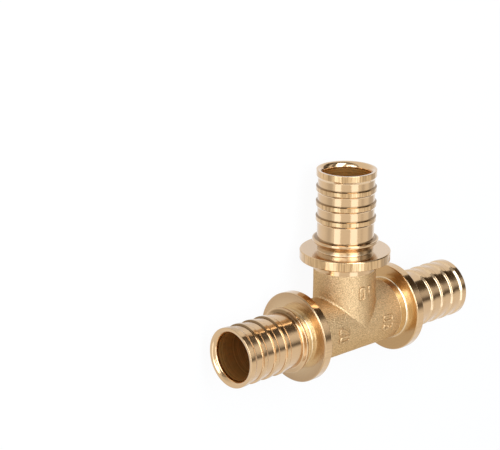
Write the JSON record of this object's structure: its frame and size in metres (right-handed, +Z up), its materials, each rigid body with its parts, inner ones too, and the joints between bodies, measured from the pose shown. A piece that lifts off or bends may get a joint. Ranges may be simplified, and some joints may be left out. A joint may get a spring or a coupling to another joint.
{
  "type": "pex tee",
  "caption": "One-piece brass tee for plastic pipe: equal ribbed spigots on a straight run and a square branch, each with a stop bead and a press flange.",
  "frame": {"origin": "where the axes of the three arms cross, at the middle of the run's bore", "axes": "+X along the run's bore, +Y out of the branch's mouth, +Z up as the tee lies on the rims of its three flanges"},
  "size_m": [0.108, 0.072, 0.032],
  "materials": {
    "brass": "turned bright on the three arms, fine matt grain as cast on the body"
  },
  "bodies": {
    "root": {"tee_body": "brass"}
  },
  "joints": []
}
